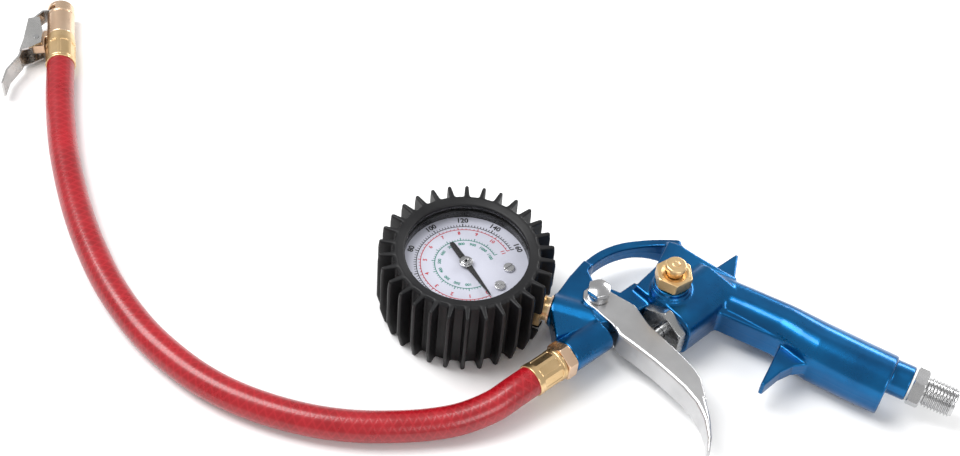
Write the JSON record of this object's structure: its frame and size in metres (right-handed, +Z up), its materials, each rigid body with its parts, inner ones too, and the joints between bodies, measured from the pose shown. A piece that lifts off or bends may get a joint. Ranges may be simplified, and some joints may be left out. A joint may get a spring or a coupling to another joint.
{
  "type": "tyre inflator",
  "caption": "Hand-held air line tyre inflator: cast gun with a squeeze lever, a rubber-booted dial gauge, and a short hose ending in a clip-on chuck.",
  "frame": {"origin": "centre of the gauge boot's back face, on the surface that the inflator lies on", "axes": "+Z up out of the dial, +X along the grip towards the air inlet, +Y away from the lever and the hose"},
  "size_m": [0.4581, 0.1717, 0.0396],
  "materials": {
    "casting_blue": "glossy candy enamel over a die casting",
    "plated_steel": "bright zinc plate",
    "lever_steel": "satin plated sheet",
    "zinc_plate": "turned and zinc plated",
    "clip_steel": "satin sheet",
    "spring_steel": "drawn wire",
    "bright_cap": "polished",
    "yellow_brass": "turned, uncoated",
    "rose_brass": "turned, slightly pink",
    "bronze": "drawn tube",
    "boot_rubber": "matt moulded rubber",
    "seal_rubber": "matt",
    "hose_red": "glossy, reinforced",
    "case_black": "black enamel",
    "pointer_black": "matt black enamel",
    "dial_white": "satin print",
    "bezel_plastic": "moulded black",
    "thread_seal": "soft washer",
    "lens_clear": "clear window"
  },
  "bodies": {
    "gun": {"body": "casting_blue", "inlet_nipple": "plated_steel", "inlet_seal": "thread_seal", "pivot_bolt": "plated_steel", "pivot_collar": "plated_steel", "pivot_nut": "plated_steel", "gland_nut": "zinc_plate", "gland_seal": "seal_rubber", "valve_seat": "yellow_brass", "valve_spring": "spring_steel", "bleed_nut": "yellow_brass", "bleed_spring": "spring_steel", "gauge_boot": "boot_rubber", "gauge_case": "case_black", "gauge_stem": "yellow_brass", "stem_washer": "rose_brass", "bourdon_tube": "bronze", "movement_frame": "yellow_brass", "dial": "dial_white", "dial_screws": "bright_cap", "dial_ring": "bezel_plastic", "lens_gasket": "seal_rubber", "lens": "lens_clear", "bezel_ring": "bezel_plastic", "hose_adaptor": "rose_brass", "hose_ferrule": "yellow_brass", "hose": "hose_red", "chuck_ferrule": "yellow_brass", "chuck_tail": "yellow_brass", "chuck_body": "rose_brass", "chuck_seal": "seal_rubber", "depressor_pin": "yellow_brass", "clip_pin": "plated_steel", "clip_spring": "spring_steel"},
    "lever_arm": {"lever": "lever_steel"},
    "valve": {"valve_stem": "plated_steel", "valve_poppet": "seal_rubber"},
    "bleed": {"bleed_button": "yellow_brass", "bleed_seal": "seal_rubber"},
    "sector": {"sector_gear": "yellow_brass"},
    "needle": {"pointer_arbor": "plated_steel", "pointer": "pointer_black", "pointer_cap": "bright_cap"},
    "clip": {"chuck_clip": "clip_steel"}
  },
  "joints": [
    {"name": "lever_pivot", "type": "hinge", "parent": "gun", "child": "lever_arm", "pos_m": [0.05266, 0.01861, 0.013], "axis": [0, 0, 1], "range_deg": [0, 7], "stiffness_Nm_per_rad": 3, "springref_deg": -5.73},
    {"name": "valve_slide", "type": "slide", "parent": "gun", "child": "valve", "axis": [0.342, 0.9397, 0], "range_m": [0, 0.0033], "deforming": ["valve_spring"]},
    {"name": "bleed_press", "type": "slide", "parent": "gun", "child": "bleed", "axis": [0, 0, -1], "range_m": [0, 0.0014], "stiffness_N_per_m": 900, "springref_m": -0.002, "deforming": ["bleed_spring"]},
    {"name": "sector_pivot", "type": "hinge", "parent": "gun", "child": "sector", "pos_m": [-0.01082, -0.002, 0.0205], "axis": [0, 0, 1], "range_deg": [0, 30.6], "stiffness_Nm_per_rad": 0.003, "springref_deg": -1.15},
    {"name": "needle_spin", "type": "hinge", "parent": "gun", "child": "needle", "pos_m": [0, 0, 0.0205], "axis": [0, 0, 1], "range_deg": [-276, 0]},
    {"name": "clip_pivot", "type": "hinge", "parent": "gun", "child": "clip", "pos_m": [-0.2469, 0.02869, 0.007], "axis": [0, 0, 1], "range_deg": [0, 16], "stiffness_Nm_per_rad": 0.15, "springref_deg": -17.19}
  ],
  "couplings": [
    {"joint": "valve_slide", "follows": "lever_pivot", "m_per_rad": 0.02634},
    {"joint": "needle_spin", "follows": "sector_pivot", "ratio": -9}
  ]
}
